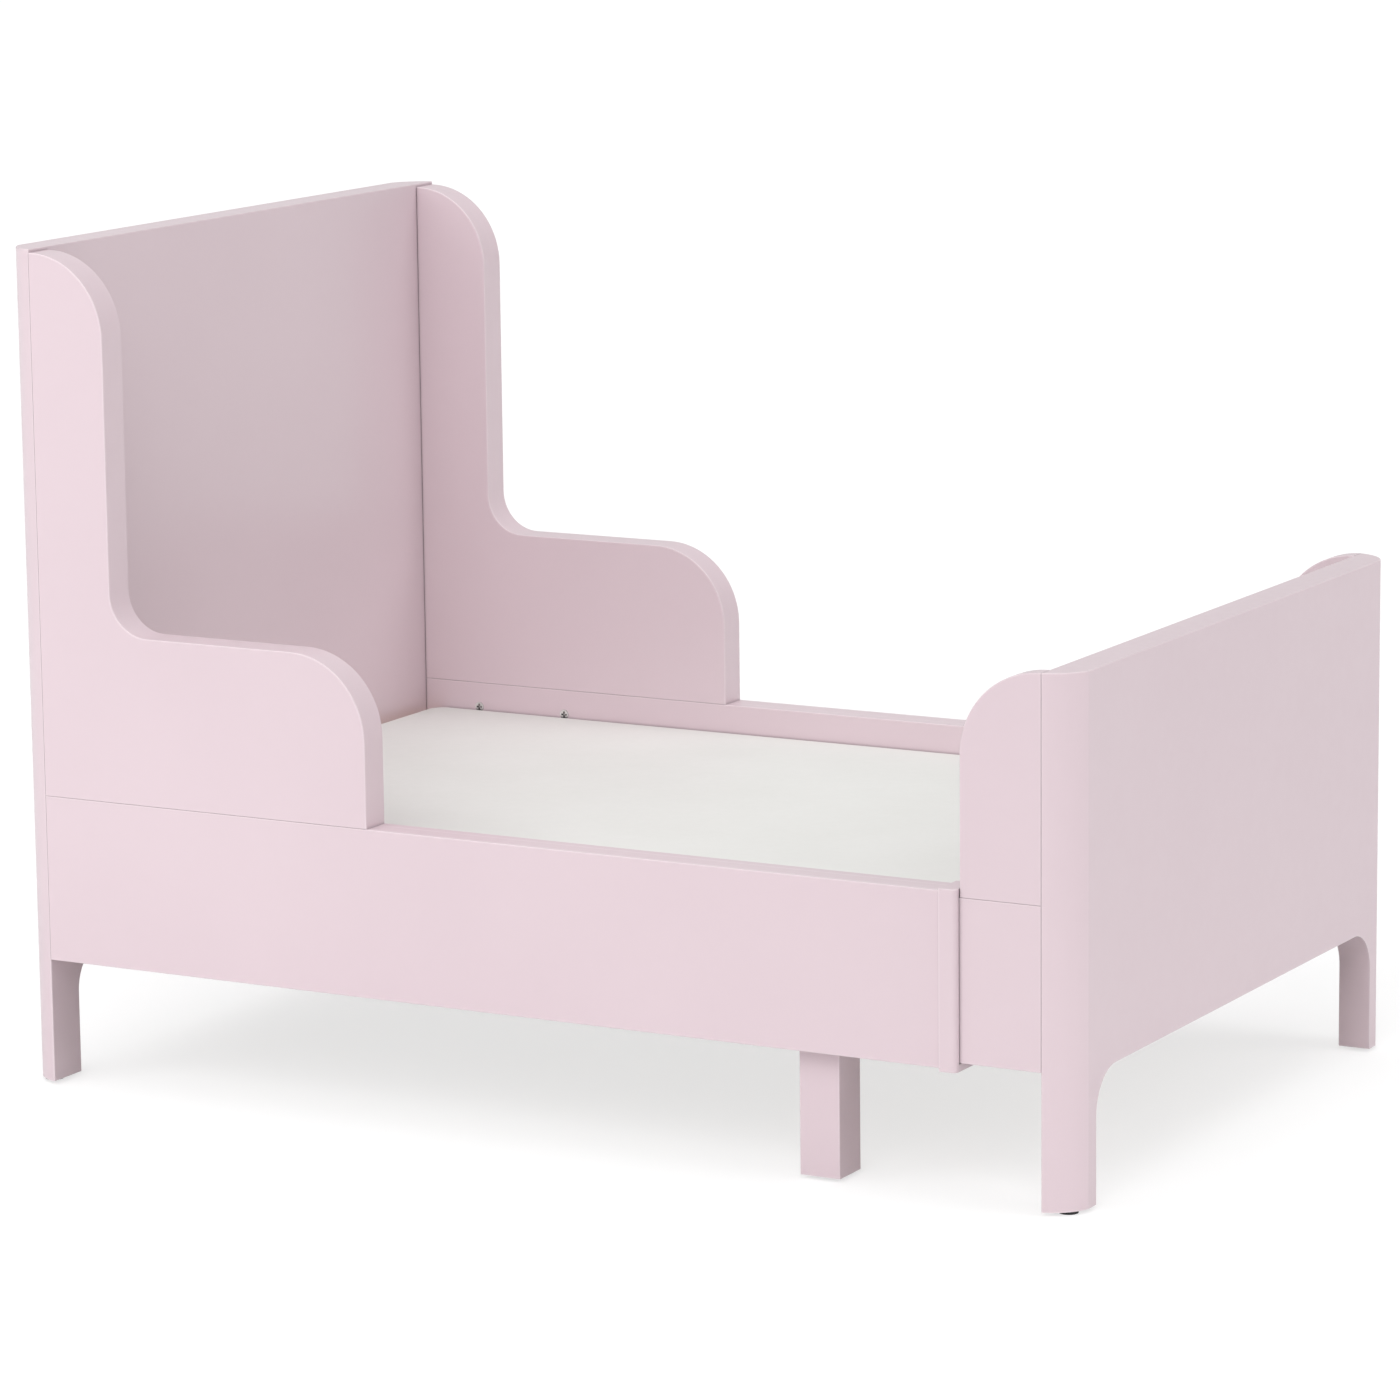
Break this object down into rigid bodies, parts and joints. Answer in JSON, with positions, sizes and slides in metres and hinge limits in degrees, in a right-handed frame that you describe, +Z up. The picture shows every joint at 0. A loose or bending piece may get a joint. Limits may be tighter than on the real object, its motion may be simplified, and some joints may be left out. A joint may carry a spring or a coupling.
{
  "type": "toddler bed",
  "caption": "Extendable toddler bed with a tall headboard, stepped side guards, hollow side rails and a foot end that slides out.",
  "frame": {"origin": "on the floor, in the middle of the closed bed", "axes": "+X from the headboard to the footboard, which is also the way the foot end slides out; +Y to the left of a child lying on their back; +Z up"},
  "size_m": [1.38, 0.908, 1],
  "materials": {
    "pink_paint": "satin acrylic paint on smooth fibreboard",
    "white_board": "smooth matt off-white painted board",
    "bare_wood": "planed unpainted pine",
    "zinc_plated_steel": "bright zinc plating",
    "black_plastic": "matt black moulded plastic"
  },
  "bodies": {
    "head_section": {"headboard": "pink_paint", "right_guard": "pink_paint", "left_guard": "pink_paint", "right_rail_outer_skin": "pink_paint", "left_rail_outer_skin": "pink_paint", "right_rail_inner_board": "pink_paint", "left_rail_inner_board": "pink_paint", "right_rail_top_batten": "pink_paint", "left_rail_top_batten": "pink_paint", "right_rail_bottom_batten": "pink_paint", "left_rail_bottom_batten": "pink_paint", "right_rail_end_block": "bare_wood", "left_rail_end_block": "bare_wood", "right_rail_collar": "pink_paint", "left_rail_collar": "pink_paint", "right_middle_leg": "pink_paint", "left_middle_leg": "pink_paint", "right_base_ledge": "bare_wood", "left_base_ledge": "bare_wood", "middle_crossbar": "bare_wood", "head_base_ledge": "bare_wood", "head_base_board": "white_board", "head_dowels": "bare_wood", "head_cam_bolts": "zinc_plated_steel", "head_cams": "zinc_plated_steel", "guard_dowels": "bare_wood", "rail_screws": "zinc_plated_steel", "leg_screws": "zinc_plated_steel", "crossbar_dowels": "bare_wood", "ledge_screws": "zinc_plated_steel", "head_section_glides": "black_plastic"},
    "foot_section": {"footboard": "pink_paint", "right_foot_rail": "pink_paint", "left_foot_rail": "pink_paint", "right_foot_wing": "pink_paint", "left_foot_wing": "pink_paint", "right_foot_base_bearer": "bare_wood", "left_foot_base_bearer": "bare_wood", "foot_base_board": "white_board", "foot_base_ledge": "bare_wood", "foot_dowels": "bare_wood", "foot_cam_bolts": "zinc_plated_steel", "foot_cams": "zinc_plated_steel", "foot_wing_dowels": "bare_wood", "foot_base_screws": "zinc_plated_steel", "bearer_dowels": "bare_wood", "foot_ledge_screws": "zinc_plated_steel", "foot_section_glides": "black_plastic"}
  },
  "joints": [
    {"name": "extension_slide", "type": "slide", "parent": "head_section", "child": "foot_section", "axis": [1, 0, 0], "range_m": [0, 0.7]}
  ]
}
